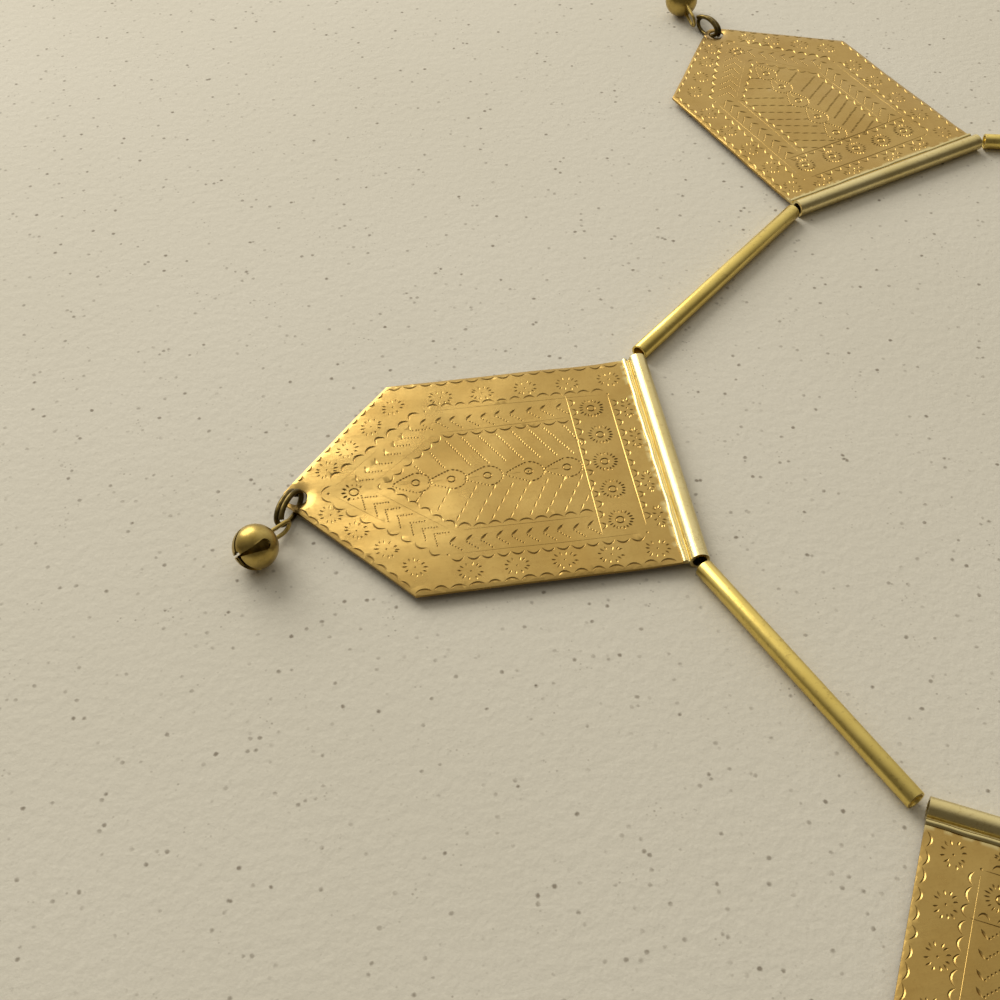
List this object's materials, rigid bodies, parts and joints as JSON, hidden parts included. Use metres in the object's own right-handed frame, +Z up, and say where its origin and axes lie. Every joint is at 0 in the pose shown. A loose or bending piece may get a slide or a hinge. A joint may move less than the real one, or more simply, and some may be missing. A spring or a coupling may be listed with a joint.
{
  "type": "toran",
  "caption": "Brass door-head hanging: engraved pentagonal plates with rolled barrels and plain tubes between them, each plate's tip carrying a small jingle bell on a wire ring.",
  "frame": {"origin": "on the surface the chain lies on, under the middle of its bounding box", "axes": "+Z up, out of the engraved faces; +X from the middle plate's tip towards its barrel; +Y along the middle plate's barrel, towards the far end of the chain"},
  "size_m": [0.3522, 0.3966, 0.0095],
  "materials": {
    "engraved_brass": "satin, chased and slightly tarnished",
    "plain_brass": "satin",
    "darkened_brass": "dark with age",
    "bell_brass": "satin, tarnished"
  },
  "bodies": {
    "root": {"plate_1": "engraved_brass", "plate_2": "engraved_brass", "plate_3": "engraved_brass", "plate_4": "engraved_brass", "plate_5": "engraved_brass", "tube_1": "plain_brass", "tube_2": "plain_brass", "tube_3": "plain_brass", "tube_4": "plain_brass", "ring_1": "darkened_brass", "ring_2": "darkened_brass", "ring_3": "darkened_brass", "ring_4": "darkened_brass", "ring_5": "darkened_brass", "bell_1": "bell_brass", "bell_2": "bell_brass", "bell_3": "bell_brass", "bell_4": "bell_brass", "bell_5": "bell_brass"}
  },
  "joints": []
}
